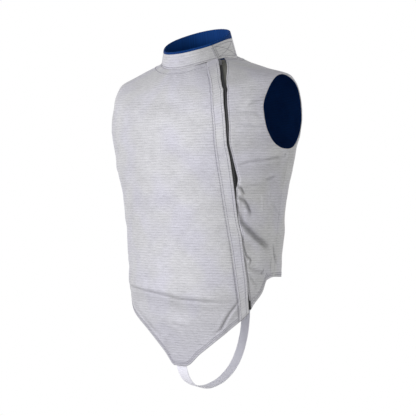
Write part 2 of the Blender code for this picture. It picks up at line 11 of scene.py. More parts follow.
import bpy
import numpy as np
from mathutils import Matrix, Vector


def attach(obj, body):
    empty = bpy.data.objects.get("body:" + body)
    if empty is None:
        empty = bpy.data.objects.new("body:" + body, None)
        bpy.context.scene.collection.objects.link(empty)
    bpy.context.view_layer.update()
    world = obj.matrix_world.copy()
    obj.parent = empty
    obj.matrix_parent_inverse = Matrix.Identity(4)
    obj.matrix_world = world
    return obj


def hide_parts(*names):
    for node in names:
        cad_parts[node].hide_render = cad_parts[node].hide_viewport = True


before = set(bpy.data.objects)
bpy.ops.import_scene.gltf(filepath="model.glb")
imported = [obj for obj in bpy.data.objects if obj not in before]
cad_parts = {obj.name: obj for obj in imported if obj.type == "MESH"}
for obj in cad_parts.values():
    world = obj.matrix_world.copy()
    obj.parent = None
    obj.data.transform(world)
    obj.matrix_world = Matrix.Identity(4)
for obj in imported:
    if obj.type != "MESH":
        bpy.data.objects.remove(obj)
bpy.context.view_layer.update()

CM = 0.01
MM = 0.001

# Walls and gaps
SEAM_GAP = 0.3 * MM
SIDE_GAP = 0.4 * MM
CLOTH_WALL = 1.4 * MM
LINING_WALL = 1.0 * MM
LINING_DEPTH = 2.2 * MM
# How much deeper the lining lies where the cloth over it tucks in
LINING_TUCK = 1.5 * MM
PLACKET_WALL = 1.8 * MM
COLLAR_WALL = 1.6 * MM
COLLAR_LINING_WALL = 1.2 * MM

# The form's rings, in cm, from the neck down to the front's tip
RING_COLUMNS = ("side_z", "half_width", "side_y", "front_depth", "back_depth", "front_z", "back_z")
RINGS_CM = (
    (0, 7.9, -1.2, 7.6, 7, -2.4, 2),
    (-0.9, 10.8, -1.1, 8.8, 8.4, -4.2, 0.6),
    (-2.2, 15, -0.6, 10.5, 10.2, -6.8, -2),
    (-3.9, 20.2, 0.2, 12.1, 11.6, -9.6, -5.8),
    (-7.5, 21.9, 0.3, 13, 12.6, -12.3, -9.6),
    (-12, 22.3, 0.2, 13.2, 13.2, -15, -13.4),
    (-15, 22, 0.1, 13.22, 13.2, -16.9, -16),
    (-18, 21.2, 0, 13.14, 12.9, -18, -18),
    (-24, 19.8, 0, 12.6, 12.1, -24, -24),
    (-31, 18.5, 0, 11.85, 11.5, -31, -31),
    (-38, 17.7, 0, 11.3, 11.6, -38, -38),
    (-44, 17.3, 0, 11.1, 12.2, -44, -44),
    (-52, 16.9, 0.2, 10.3, 12.6, -52, -52),
    (-62, 16.4, 0.6, 8.6, 12.8, -62, -62),
)
SEAM_ANGLE = 91.0
WAIST_Z = -38.0 * CM

# Armhole: an oval seen from the side, narrower at the shoulder than under the arm
ARMHOLE_Z, ARMHOLE_HALF_Z = -11.1 * CM, 7.3 * CM
ARMHOLE_Y, ARMHOLE_HALF_Y = -0.8 * CM, 5.4 * CM
ARMHOLE_ROUND_TOP, ARMHOLE_ROUND_BOTTOM = 1.75, 2.3
LINING_SETBACK = 2.5 * MM
LINING_HEM = 6.0 * MM

# Hem height by angle: a pointed front with a blunt tip, nearly level behind
HEM_COLUMNS = ("angle", "side_z")
HEM_CM = (
    (-91, -43.4), (-81, -43.9), (-76, -46.2), (-60, -49.9), (-43.5, -51.9), (-30.5, -53.8),
    (-19.5, -56.2), (-10.8, -58.7), (-3.4, -61.3), (6.2, -61.3), (19.5, -58.7), (30, -56.6),
    (45, -53.6), (62.8, -49.9), (66.2, -48.7), (75.8, -46.2), (80.8, -43.9), (91, -43.4),
    (135, -44), (180, -44.6), (225, -44), (269, -43.4),
)

# Front opening: the placket's stitched seam and free edge, and how far the zip beneath is moved
OPENING_COLUMNS = ("side_z", "placket_seam", "placket_edge", "zip_shift")
OPENING_CM = (
    (0, 48, 63.3, 0),
    (-0.5, 44.3, 57.9, 0),
    (-1.2, 40.2, 51.5, 0),
    (-1.9, 37.7, 46.4, 0),
    (-2.7, 34.4, 41.3, 0),
    (-3.4, 31.2, 38.1, 0),
    (-4.8, 30.1, 36.6, 0),
    (-6.8, 30, 36.2, 0),
    (-9, 30.4, 36.5, 0),
    (-13.2, 31.2, 37.3, 0),
    (-17.4, 33.1, 39.5, 0),
    (-20.9, 35.3, 42.6, 0),
    (-24.9, 38.2, 45.6, -0.1),
    (-28.2, 40.4, 47.8, -0.3),
    (-32.6, 43.5, 50.9, -0.55),
    (-35, 45.3, 53.5, -0.65),
    (-37.8, 47.5, 55.3, -0.65),
    (-40.6, 49.3, 57.1, -0.62),
    (-44.5, 51.8, 59.8, -0.5),
    (-47.8, 53.5, 60.7, -0.2),
    (-52, 54.5, 61.5, -0.1),
)
ZIP_CENTRE = 3.7 * MM
FRONT_EDGE = -3.5 * MM
SEAM_ROWS_APART = 4.2 * MM
# By height in cm: the left panel's turned edge, as a distance from the placket's free edge
LEFT_PANEL_MM = (
    (0, 17), (-0.5, 17), (-1.2, 16.5), (-1.9, 14), (-2.7, 11), (-3.4, 9), (-4.8, 7.4),
    (-9, 6.8), (-13.2, 6.2), (-15.2, 4.9), (-17.4, 4.8), (-19.3, 5.2), (-20.9, 6.2), (-22.2, 7.7),
    (-23.3, 9.2), (-24.2, 10.2), (-25.2, 8), (-26.2, 4.4), (-27.3, 2.8), (-28.2, 2.2), (-32.6, 1.8),
    (-35, 1), (-44.5, 1), (-46.5, 2.2), (-47.8, 3.8), (-52, 5),
)
# The height of the soft roll along that edge
LEFT_EDGE_ROLL_MM = (
    (0, 0.6), (-4, 1), (-18, 1.2), (-21, 2.4), (-24.6, 4.2), (-29, 4.4), (-33, 3),
    (-36, 1.6), (-50, 0.8),
)
TAPE_RIGHT = -9.0 * MM
TAPE_LEFT = 17.0 * MM
TAPE_GAP = 0.8 * MM
PLACKET_LIFT = 2.0 * MM
ZIP_TOP_Z = -0.12 * CM

# Largest folds: soft ridges, each along a line of (angle, z in cm), with its half width in cm and
# its height in mm
FOLDS = (
    (((-66, -44.9), (8, -46.6)), 2.2, 3),
    (((8, -46.6), (50, -47.4)), 2.2, 2.6),
    (((-44, -50.6), (8, -52.6)), 2.4, 1.6),
    (((61, -33.4), (82, -38.4)), 2.2, 3.4),
    (((58, -25.4), (70, -31)), 2.2, 1.8),
    (((56, -20.6), (82, -20.2)), 2.4, 1.8),
    (((-84, -33.6), (-58, -38.6)), 2.4, 2.6),
    (((-82, -21), (-52, -22.4)), 2.4, 1.8),
    (((112, -35), (160, -40.6)), 2.6, 3),
    (((246, -33.6), (202, -38.8)), 2.6, 3),
    (((150, -27.4), (214, -28.2)), 2.8, 2),
)
RING_CM_PER_DEGREE = 0.28

# Creases: a line of (angle, z in cm) that the cloth tucks into, with a roll of cloth beside it.
# Each gives the tuck's depth and half width and the roll's height and half width, in mm; the roll
# lies on the left of the way the line runs, and a tuck below 0 is a ridge.
SIDE_CREASES = (
    (((84, -36.6), (86.5, -37.8), (88.2, -38.9), (92.4, -40.2), (97.5, -41.4)), 3.4, 2.6, 0.5, 8),
    (((79, -29), (86, -30.6), (95, -31.6)), 1.2, 2.4, 0.4, 6),
)
CREASES = {
    # the long one across the lower front, the strong one from the placket down to the hem, the
    # furrow along the hem, and the right side's
    "front": (
        (((-68, -45.2), (-60.4, -45.8), (-44, -46.1), (-27.2, -46.5), (-12, -46.9), (0.1, -47.3),
          (9.6, -47.8), (27.8, -48.1), (46.6, -48.3), (53, -48.3)), 3, 2.6, 3, 10),
        (((54.6, -47.2), (53, -47.9), (51.6, -48.5), (48.6, -49.4), (45.6, -50.3), (42.6, -51.5),
          (37.8, -53.6), (31.6, -54.8)), 3.8, 2.4, 2, 7),
        (((-50, -49), (-41.5, -50.3), (-33.6, -51.6), (-24.4, -53.3), (-16.5, -54.8), (-11.5, -56.3),
          (-6.8, -57.6)), 1.2, 5, 0.8, 9),
        (((-4, -52.5), (6.1, -53.2), (16, -53.5)), 0.9, 3, 0.8, 8),
        (((-72, -41), (-55, -43), (-38, -44.2)), 1, 5, 1, 10),
        (((-11.6, -29.1), (-8.6, -30.8), (-3, -32.1), (0.9, -32.9)), 0.5, 4, 0.6, 8),
        (((-58, -40.8), (-72, -38.4), (-88, -36.6)), 2.4, 3.6, 2, 11),
        (((-86, -40.4), (-76, -42.4), (-66, -43.4)), 1.6, 3.6, 1.4, 9),
        (((-86, -20), (-70, -21.6), (-54, -23.8)), 1.2, 4, 1.4, 11),
        (((-80, -28), (-70, -31), (-62, -34.6)), 1, 4, 1, 11),
        (((-60, -8.6), (-52, -10), (-44, -10.6)), 1, 3, 1, 8),
        (((-62, -14.6), (-52, -14), (-42, -14.6)), 1, 3, 1, 8),
    ),
    # from the knot at the zip down to the hem, below the arm, and from the armhole's front
    "left_front": SIDE_CREASES + (
        (((84, -38.4), (75.2, -37.1), (65.6, -35.5), (58.8, -33.9), (54.2, -32.6), (52.5, -31.2),
          (50.9, -30), (49, -29)), 6, 5.2, 5.5, 10),
        (((54.8, -27.5), (51.8, -26.1), (49.6, -25.7), (47.6, -25.4), (46.4, -25.1)), 4.6, 2, 2.8, 4.5),
        (((61.6, -31.6), (57.6, -29.5), (55.2, -28.5), (51.8, -28), (49.5, -27.6), (47.6, -27.2)),
         5, 2.6, 3.6, 6),
        (((48.6, -24.9), (47.4, -23.9), (45.5, -23), (44.6, -22.4)), 2.4, 1.8, 1.6, 4),
        (((44, -21.9), (49, -21.8), (56, -21.2), (64.2, -20.9), (71.2, -20.6), (79.1, -20.3),
          (86, -20.1)), 2.2, 2.2, 2, 9),
        (((66, -20.7), (73, -20.4), (80, -20.2)), 2, 2, 0.8, 6),
        (((83, -20.6), (84, -19.9), (86.4, -19)), 2.2, 1.8, 0.8, 4),
        (((69, -24.7), (75, -24.3), (80, -24.1)), 2.6, 3, 1.2, 6),
        (((72, -25.9), (61, -25.6), (52, -25.9)), 1.6, 3, 1.6, 6),
        (((62.4, -41.4), (62.5, -39.8), (59.2, -39.2), (57.8, -38.4), (55.4, -37)), 4.2, 2.1, 2.8, 4.5),
        (((79, -42.9), (67.1, -42), (62.4, -41.5), (58.4, -40.4)), 2.8, 3.2, 2.2, 8),
        (((76.6, -41.8), (73.6, -42.9)), 3, 2.2, 0.8, 4),
        (((83.6, -38.8), (84.5, -40.7), (85.1, -43)), 1.4, 1.4, 0.2, 4),
        (((71, -45.5), (65.1, -43.9), (60.8, -42.6)), 2, 2.6, 1.4, 7),
        (((48.6, -8.9), (55.8, -8.2), (63, -8.3)), 1.6, 3, 1.6, 8),
        (((43.4, -9.6), (49.8, -10.1), (55.5, -10.8), (61.6, -12.4)), 2.2, 2.8, 1.8, 8),
        (((44, -12.7), (50.6, -13.2), (55.9, -13.7), (63, -14)), 1.8, 2.8, 1.6, 8),
        (((54.5, -14.9), (61.1, -15.9), (69, -17.3)), 1.4, 3, 1.4, 8),
        (((68.4, -26.4), (69.4, -28.6), (71, -31.2)), -1.1, 2.6, 0, 4),
        (((75, -26.2), (76.4, -28), (77.6, -30.4)), -1.1, 2.4, 0, 4),
    ),
    "back": SIDE_CREASES + (
        (((126, -35.2), (136, -37), (150, -39.2), (170, -41.6)), 3.4, 3.2, 2.6, 10),
        (((204, -39.8), (230, -36.6), (246, -34), (258, -31.6)), 3.6, 3.2, 3, 11),
        (((150, -28), (182, -28.8), (214, -28.6)), 1.8, 3.6, 1.8, 12),
        (((124, -22.8), (134, -24.8), (150, -26.2)), 1.6, 3.6, 1.6, 10),
        (((220, -25.4), (240, -23.8), (254, -21.4)), 1.6, 3.6, 1.6, 10),
        (((164, -15), (181, -16.2), (198, -15.2)), 1, 4.4, 1.2, 12),
        (((112, -9), (122, -10.4), (132, -11)), 1.2, 3.2, 1.2, 8),
        (((228, -11.2), (240, -10.4), (248, -9.2)), 1.2, 3.2, 1.2, 8),
    ),
    "placket": (),
}
# The share of a crease that fades out at each end, the roll's share on the tuck's other side, and
# the tuck in mm at which the crease's painted shade is full
CREASE_FADE = 0.28
FAR_ROLL = 0.35
FULL_SHADE_TUCK = 6.0
# The turned hem: its height, how soon it ends above that, and how much it raises the cloth
HEM_TURN, HEM_STEP, HEM_RAISED = 11 * MM, 4 * MM, 0.35 * MM
# The front's creases end this far before the placket's seam, and fade out over this much
CREASE_END_BEFORE, CREASE_END_OVER = 4 * MM, 5 * MM
# How deep the left panel may tuck in at the tape's edge and for each metre past it, and how softly
TUCK_AT_TAPE, TUCK_PAST_TAPE, TUCK_SOFTENED = 0.4 * MM, 0.9, 0.3 * MM
# The furrow beside the placket's seam, in mm: its depth, what it gains towards the hem and its width
FURROW_DEPTH, FURROW_GAIN, FURROW_WIDTH = 0.35, 1.2, 1.9
# The height in cm from which it gains, and over how much
FURROW_GAIN_FROM, FURROW_GAIN_OVER = -36.0, 8.0
# The left edge's roll: how wide it rises and how wide it falls, in mm
LEFT_ROLL_RISE, LEFT_ROLL_FALL = 3.0, 16.0
# The cloth's unevenness: each wave's height in mm, its turn per radian and per cm up, and its start
WAVES = ((0.35, 5.1, 0.41, 1.0), (0.3, -8.3, 0.63, 0.0), (0.22, 13.7, 0.97, 2.0), (0.16, 3.0, -1.7, 0.0))

# Collar: its rim is a ring that leans forward
COLLAR_START = 48.0
COLLAR_END = 424.0
RIM_RADIUS = 7.1 * CM
RIM_Y = -2.5 * CM
RIM_MIDDLE_Z = 3.45 * CM
RIM_LEAN = 3.0 * CM
OVERLAP_LIFT = COLLAR_WALL + COLLAR_LINING_WALL + 2 * SEAM_GAP
OVERLAP_RISE_FROM = 378.0
OVERLAP_RISE_TO = 404.0
# The painted shadow along the lapping end: how far before the end it starts, and over how much it grows
SHADED_END_FROM, SHADED_END_OVER = 1.6, 1.3
# The rim is drawn in where the end laps over, and the metal cloth's edge dips on the left side
RIM_DRAWN_IN, RIM_DRAWN_AT, RIM_DRAWN_OVER = 0.5 * CM, 310.0, 40.0
RIM_DIP, RIM_DIP_AT, RIM_DIP_OVER = 0.8 * CM, 128.0, 26.0

# Crotch strap, from inside the front's tip, under and up to the back hem: x, y, z and width in
# cm, and its tilt in degrees
STRAP_CM = (
    (0.45, -8.2, -58.9, 2.4, 0),
    (0.45, -7.66, -61.3, 2.4, 0),
    (0.45, -6.8, -63.3, 2.3, 0),
    (0.5, -5, -65.1, 2.1, 5),
    (0.55, -2.6, -66.1, 2, 8),
    (0.6, 0.2, -66.5, 2, 10),
    (0.7, 3.6, -66, 2, 10),
    (0.85, 7.2, -64.4, 2, 9),
    (0.95, 10.1, -61.8, 2, 6),
    (1.05, 11.7, -58.9, 2, 3),
    (1.15, 12.7, -55.4, 2, 0),
    (1.15, 13.1, -52, 2, 0),
    (1.1, 12.8, -48.6, 2, 0),
    (1, 11.85, -45.3, 2, 0),
    (0.9, 11.5, -43.6, 2, 0),
    (0.9, 11.42, -42.2, 2, 0),
)
STRAP_WALL = 1.5 * MM

# Fineness of the cloth's grids, and how often they are settled onto the hem and the armhole
CLOTH_STEP = 3.0 * MM
HEM_PASSES, ARMHOLE_PASSES = 12, 8
# The angle at which the cloth's run over the shoulder is measured, and the radius by which an angle
# counts as a distance across the weave
SHOULDER_ANGLE = 60.0
WEAVE_RADIUS = 0.17


def smooth(x, y):
    """A curve through the points that never swings past them, as a function of x."""
    order = np.argsort(x)
    x, y = np.asarray(x, float)[order], np.asarray(y, float)[order]
    step, rise = np.diff(x), np.diff(y) / np.diff(x)
    slope = np.empty_like(y)
    slope[0], slope[-1] = rise[0], rise[-1]
    first = 2 * step[1:] + step[:-1]
    second = step[1:] + 2 * step[:-1]
    same = rise[:-1] * rise[1:] > 0
    low, high = np.where(same, rise[:-1], 1.0), np.where(same, rise[1:], 1.0)
    slope[1:-1] = np.where(same, (first + second) / (first / low + second / high), 0.0)

    def at(value):
        value = np.clip(value, x[0], x[-1])
        k = np.clip(np.searchsorted(x, value) - 1, 0, len(x) - 2)
        t = (value - x[k]) / step[k]
        start = (1 + 2 * t) * (1 - t) ** 2 * y[k] + t * (1 - t) ** 2 * step[k] * slope[k]
        end = t * t * (3 - 2 * t) * y[k + 1] + t * t * (t - 1) * step[k] * slope[k + 1]
        return start + end

    return at


def curves(rows, columns, scale):
    """Each of the table's columns as a smooth function of its first, in metres."""
    values = np.array(rows, dtype=float).T
    return {name: smooth(values[0] * scale[0], column * factor)
            for name, column, factor in zip(columns[1:], values[1:], scale[1:])}


RING = curves(RINGS_CM, RING_COLUMNS, (CM,) * 7)
OPENING = curves(OPENING_CM, OPENING_COLUMNS, (CM, 1.0, 1.0, CM))
HEM = curves(HEM_CM, HEM_COLUMNS, (1.0, CM))["side_z"]
LEFT_PANEL = smooth(*(np.array(LEFT_PANEL_MM).T * [[CM], [MM]]))
LEFT_ROLL = smooth(*(np.array(LEFT_EDGE_ROLL_MM).T * [[CM], [MM]]))


def form(angle, side_z):
    """The point of the form at an angle on the ring side_z: an ellipse whose front and back lie lower."""
    turn = np.radians(angle)
    sine, cosine = np.sin(turn), np.cos(turn)
    front = cosine > 0
    depth = np.where(front, RING["front_depth"](side_z), RING["back_depth"](side_z))
    centre_z = np.where(front, RING["front_z"](side_z), RING["back_z"](side_z))
    x = RING["half_width"](side_z) * sine
    y = RING["side_y"](side_z) - depth * cosine
    z = side_z + (centre_z - side_z) * cosine ** 2
    return np.stack([x, y, z], -1)


def unit(vectors):
    """The vectors at length 1."""
    return vectors / np.linalg.norm(vectors, axis=-1, keepdims=True)


def outward(angle, side_z):
    """The form's normal, away from the wearer."""
    across = form(angle + 0.25, side_z) - form(angle - 0.25, side_z)
    up = form(angle, side_z) - form(angle, side_z - 0.05 * CM)
    return unit(np.cross(across, up))


def per_degree(angle, side_z):
    """The ring's length to a degree."""
    return np.linalg.norm(form(angle + 0.5, side_z) - form(angle - 0.5, side_z), axis=-1)


def beside(angle, side_z, distance):
    """The angle that lies a distance along the ring, towards the wearer's left."""
    return angle + distance / per_degree(angle, side_z)


def ring_distance(start, angle, side_z):
    """The distance along the ring from one angle to another."""
    return (angle - start) * per_degree(start, side_z)


def run_along(points, axis=0):
    """Each point's distance along its line of points."""
    steps = np.linalg.norm(np.diff(points, axis=axis), axis=-1)
    return np.insert(np.cumsum(steps, axis), 0, 0.0, axis)


def soft_step(value):
    """0 below 0, 1 above 1 and smooth between."""
    t = np.clip(value, 0.0, 1.0)
    return t * t * (3 - 2 * t)


def bell(value, width):
    """1 at 0, falling away on both sides."""
    return np.exp(-(value / width) ** 2)


def square_to(line, vectors):
    """The vectors turned square to the line's directions, at length 1."""
    return unit(vectors - line * np.sum(line * vectors, -1, keepdims=True))


def near_line(line, angle, side_z):
    """How far places on the cloth lie from a line, above 0 on its left, and their distance along it."""
    across = np.asarray(angle * RING_CM_PER_DEGREE * CM + 0 * side_z)
    height = np.asarray(side_z + 0 * across)
    points = np.array(line) * np.array([RING_CM_PER_DEGREE * CM, CM])
    start, run, before = points[:-1], np.diff(points, axis=0), run_along(points)
    length = np.hypot(run[:, 0], run[:, 1])
    away_x = across[..., None] - start[:, 0]
    away_y = height[..., None] - start[:, 1]
    share = np.clip((away_x * run[:, 0] + away_y * run[:, 1]) / length ** 2, 0.0, 1.0)
    distance = np.hypot(away_x - share * run[:, 0], away_y - share * run[:, 1])
    side = np.where(run[:, 0] * away_y < run[:, 1] * away_x, -1, 1)
    nearest = np.argmin(distance, -1)[..., None]
    aside, along = (np.take_along_axis(values, nearest, -1)[..., 0]
                    for values in (distance * side, before[:-1] + share * length))
    return aside, along, before[-1]


def fold_lift(angle, side_z):
    """How far the folds raise the cloth: a soft ridge along each fold's line."""
    lift = 0.0
    for line, half_width, height in FOLDS:
        lift = lift + height * MM * bell(near_line(line, angle, side_z)[0] / CM, half_width)
    return lift


def creases(angle, side_z, part):
    """The creases' lift and their painted shade: a tuck along each line and a soft roll beside it.

    Both fade out towards the line's ends. Painted shade darkens the cloth's colour where a tuck is deep.
    """
    lift = painted_shade = 0.0 * (angle + side_z)
    for line, tuck, tuck_width, roll, roll_width in CREASES[part]:
        aside, along, length = near_line(line, angle, side_z)
        aside, run_out = aside / MM, CREASE_FADE * length
        fade = soft_step(along / run_out) * soft_step((length - along) / run_out)
        near_roll = roll * bell(aside - 0.8 * roll_width, roll_width)
        far_roll = FAR_ROLL * roll * bell(aside + 0.8 * roll_width, roll_width)
        lift = lift + fade * MM * (near_roll + far_roll - tuck * bell(aside, tuck_width))
        # Painted shade, darker the deeper the tuck
        depth_shade = np.sign(tuck) * abs(tuck / FULL_SHADE_TUCK) ** 1.5
        painted_shade = np.maximum(painted_shade, fade * depth_shade * bell(aside / tuck_width, 1.3))
    return lift, np.clip(painted_shade, 0.0, 1.0)


def hem_lift(angle, side_z):
    """The doubled cloth of the turned hem, which ends just above its stitching."""
    return HEM_RAISED * (1 - soft_step((side_z - HEM(angle) - HEM_TURN) / HEM_STEP))


def waviness(angle, side_z):
    """The cloth's slight unevenness: a few long waves at odd slants."""
    turn = np.radians(angle)
    z = side_z / CM
    return MM * sum(height * np.sin(by_turn * turn + by_z * z + start)
                    for height, by_turn, by_z, start in WAVES)


def placket_furrow(angle, side_z):
    """The groove between the placket's two rows of stitching, deeper towards the hem."""
    across = ring_distance(OPENING["placket_seam"](side_z), angle, side_z) / MM
    deep = FURROW_DEPTH + FURROW_GAIN * soft_step((FURROW_GAIN_FROM - side_z / CM) / FURROW_GAIN_OVER)
    return -deep * MM * bell(across + SEAM_ROWS_APART / MM / 2, FURROW_WIDTH)


def left_edge_roll(angle, side_z):
    """The soft roll along the left panel's turned edge at the zip."""
    across = ring_distance(left_line(side_z), angle, side_z) / MM
    rise, fall = 1 - bell(across, LEFT_ROLL_RISE), bell(across, LEFT_ROLL_FALL)
    return LEFT_ROLL(side_z) * rise * fall * (across > 0)


def relief(angle, side_z, part):
    """All that moves a part's cloth off its plain form.

    The front's creases end at the placket's seam, and the left panel's stay above the zip's tape.
    """
    lift = fold_lift(angle, side_z) + hem_lift(angle, side_z)
    lift = lift + waviness(angle, side_z) * soft_step((side_z - HEM(angle)) / (3 * CM))
    crease = creases(angle, side_z, part)[0]
    if part == "front":
        past = ring_distance(OPENING["placket_seam"](side_z), angle, side_z) + CREASE_END_BEFORE
        crease = crease * (1 - soft_step(past / CREASE_END_OVER)) + placket_furrow(angle, side_z)
    if part == "left_front":
        past = np.maximum(0.0, ring_distance(zip_line(TAPE_LEFT)(side_z), angle, side_z))
        floor = -TUCK_AT_TAPE - TUCK_PAST_TAPE * past
        crease = crease + left_edge_roll(angle, side_z)
        crease = (crease + floor + np.hypot(crease - floor, TUCK_SOFTENED)) / 2
    return lift + crease


def cloth(angle, side_z, part, out=0.0):
    """A point of a part's creased cloth, moved out from its face."""
    reach = relief(angle, side_z, part) + out
    return form(angle, side_z) + outward(angle, side_z) * np.asarray(reach)[..., None]


def armhole_side(angle, side_z, margin=0.0):
    """Below 0 inside the armhole's oval, above 0 in the cloth."""
    point = form(angle, side_z)
    y, z = point[..., 1] - ARMHOLE_Y, point[..., 2] - ARMHOLE_Z
    power = np.where(z > 0, ARMHOLE_ROUND_TOP, ARMHOLE_ROUND_BOTTOM)
    return (np.abs(y / (ARMHOLE_HALF_Y + margin)) ** power
            + np.abs(z / (ARMHOLE_HALF_Z + margin)) ** power) ** (1 / power) - 1


def to_armhole(angle, side_z, margin=0.0):
    """The places moved onto the armhole's edge, by the shortest way along the cloth."""
    little_angle, little_z = 0.05, 0.1 * MM
    weigh_angle = (1 / (RING_CM_PER_DEGREE * CM)) ** 2
    for _ in range(ARMHOLE_PASSES):
        value = armhole_side(angle, side_z, margin)
        by_angle = (armhole_side(angle + little_angle, side_z, margin) - value) / little_angle
        by_z = (armhole_side(angle, side_z + little_z, margin) - value) / little_z
        step = value / (by_angle ** 2 * weigh_angle + by_z ** 2)
        angle = angle - step * by_angle * weigh_angle
        side_z = side_z - step * by_z
    return angle, side_z


def side_edge(sign):
    """The side and shoulder seam's line: -1 is the front's edge, 1 the back's."""
    return lambda z: beside(SEAM_ANGLE, z, sign * SIDE_GAP / 2)


def mirrored(line, full_turn=0.0):
    """The same line on the wearer's right, by angles that may be counted a full turn on."""
    return lambda z: full_turn - line(z)


def zip_line(distance):
    """A line that runs beside the placket's free edge and follows the zip's shift."""
    return lambda z: beside(OPENING["placket_edge"](z), z, distance + OPENING["zip_shift"](z))


def left_line(side_z):
    """The left panel's turned edge at the zip."""
    return beside(OPENING["placket_edge"](side_z), side_z, LEFT_PANEL(side_z))


def shoulder_run(top=0.0):
    """Heights from the waist up, and the length of cloth to each as it runs over the shoulder."""
    fine = np.linspace(WAIST_Z, top, 800)
    return fine, run_along(form(SHOULDER_ANGLE + 0 * fine, fine))


def row_heights(step, top=0.0):
    """Heights from the waist to the neck, a step apart along the cloth."""
    fine, run = shoulder_run(top)
    return np.interp(np.linspace(0, run[-1], int(run[-1] / step)), run, fine)


def places(left, right, columns, lower_rows, step=CLOTH_STEP, hem_margin=0.0, top=0.0):
    """Angles and heights of a panel's grid between two lines, from the hem up."""
    share = np.linspace(0.0, 1.0, columns + 1)[None, :]
    level = np.linspace(0.0, 1.0, lower_rows + 1)[:-1, None]
    low_z = np.full((lower_rows, columns + 1), WAIST_Z)
    for _ in range(HEM_PASSES):
        low_angle = left(low_z) * (1 - share) + right(low_z) * share
        hem = HEM(low_angle) + hem_margin
        low_z = hem + (WAIST_Z - hem) * level
    high_z = np.repeat(row_heights(step, top)[:, None], columns + 1, 1)
    high_angle = left(high_z) * (1 - share) + right(high_z) * share
    return np.concatenate([low_angle, high_angle]), np.concatenate([low_z, high_z])


def grid_faces(rows, columns):
    """The quads of a grid whose points run along its rows."""
    corner = np.arange(rows * columns).reshape(rows, columns)
    return np.stack([corner[:-1, :-1], corner[:-1, 1:], corner[1:, 1:], corner[1:, :-1]], -1)


def ring_faces(rows, size):
    """The point numbers of a row of rings, each ring's next points, and the quads between rings."""
    corner = np.arange(rows * size).reshape(rows, size)
    after = np.roll(corner, -1, 1)
    sides = np.stack([corner[:-1], after[:-1], after[1:], corner[1:]], -1)
    return corner, after, sides.reshape(-1, 4)


def make(name, points, face_groups, look, uv=None, smooth_shading=True):
    """A mesh object from arrays of points and faces, with its UV map in metres of cloth."""
    mesh = bpy.data.meshes.new(name)
    faces = [face for group in face_groups for face in group.tolist()]
    mesh.from_pydata(points.reshape(-1, 3).tolist(), [], faces)
    if uv is not None:
        corners = np.concatenate([group.ravel() for group in face_groups])
        mesh.uv_layers.new(name="cloth").data.foreach_set("uv", uv[corners].ravel())
    if smooth_shading:
        mesh.shade_smooth()
    mesh.materials.append(look)
    made = bpy.data.objects.new(name, mesh)
    bpy.context.scene.collection.objects.link(made)
    return made


def mark_painted_shade(made, painted_shade):
    """The painted shade at each point, which darkens its material's colour."""
    made.data.attributes.new("painted_shade", "FLOAT", "POINT").data.foreach_set("value", painted_shade)


def cloth_uv(angle, side_z, points):
    """Across the cloth and up it, in metres: the height and what the shoulder's slope adds."""
    fine, run = shoulder_run()
    added = np.interp(side_z, fine, run - (fine - WAIST_Z)) * np.sin(np.radians(angle)) ** 2
    return np.stack([np.radians(angle) * WEAVE_RADIUS, points[..., 2] + added], -1).reshape(-1, 2)


def panel(name, part, left, right, columns, lower_rows, step, look, wall, depth=0.0, margin=0.0,
          hem_margin=0.0):
    """A panel between two lines, its armhole cut out of the grid and drawn to the oval's edge."""
    angle, z = places(left, right, columns, lower_rows, step, hem_margin)
    kept = armhole_side((angle[:-1, :-1] + angle[1:, 1:]) / 2, (z[:-1, :-1] + z[1:, 1:]) / 2, margin) > 0
    faces = grid_faces(*angle.shape)
    touches_kept = np.zeros(angle.size, bool)
    touches_hole = np.zeros(angle.size, bool)
    touches_kept[faces[kept].ravel()] = True
    touches_hole[faces[~kept].ravel()] = True
    edge = (touches_kept & touches_hole).reshape(angle.shape)
    angle[edge], z[edge] = to_armhole(angle[edge], z[edge], margin)
    # Painted shade in the creases; the lining also lies deeper there
    painted_shade = creases(angle, z, part)[1]
    points = cloth(angle, z, part, -depth - LINING_TUCK * painted_shade * (depth > 0))
    index = np.cumsum(touches_kept) - 1
    made = make(name, points.reshape(-1, 3)[touches_kept], [index[faces[kept]]], look,
                cloth_uv(angle, z, points)[touches_kept])
    mark_painted_shade(made, painted_shade.ravel()[touches_kept])
    thickness = made.modifiers.new("Wall", "SOLIDIFY")
    thickness.thickness = wall
    thickness.offset = -1.0
    thickness.use_even_offset = True
    return made


def swept_uv(girth, section):
    """Texture places of a row of rings: the distance round each and along their middles."""
    run = run_along(section.mean(1))[:, None] + 0 * girth
    return np.stack([girth, run], -1).reshape(-1, 2)


def band(name, face, back, look, ribs_along=False):
    """A band with round edges, through an outer and an inner grid of points, closed at its ends.

    Each row's section runs over the outer points, round the edge, back along the inner ones and
    round the other edge.
    """
    turn = np.linspace(0.0, math.pi, 5)[1:-1]

    def round_edge(first, second, beyond):
        centre, half = (first + second) / 2, (first - second) / 2
        reach = np.linalg.norm(half, axis=-1, keepdims=True)
        return np.stack([centre + half * math.cos(t) + beyond * reach * math.sin(t) for t in turn], 1)

    section = np.concatenate([
        face, round_edge(face[:, -1], back[:, -1], unit(face[:, -1] - face[:, -2])),
        back[:, ::-1], round_edge(back[:, 0], face[:, 0], unit(face[:, 0] - face[:, 1]))], 1)
    corner, after, sides = ring_faces(*section.shape[:2])
    first, last = np.full_like(corner[0], corner.size), np.full_like(corner[0], corner.size + 1)
    caps = [np.stack([after[0], corner[0], first], -1), np.stack([corner[-1], after[-1], last], -1)]
    middle = section.mean(1)
    points = np.concatenate([section.reshape(-1, 3), middle[:1], middle[-1:]])
    uv = swept_uv(run_along(section, 1), section)
    uv = np.concatenate([uv, [[0, 0], [0, uv[-1, 1]]]])
    return make(name, points, [sides, *caps], look, uv[:, ::-1] if ribs_along else uv)


def tube(name, section, look):
    """A closed body through rings of points, with flat ends."""
    corner, _, sides = ring_faces(*section.shape[:2])
    girth = run_along(np.concatenate([section, section[:, :1]], 1), 1)[:, 1:]
    return make(name, section, [sides, corner[:1, ::-1], corner[-1:]], look, swept_uv(girth, section))


# Materials


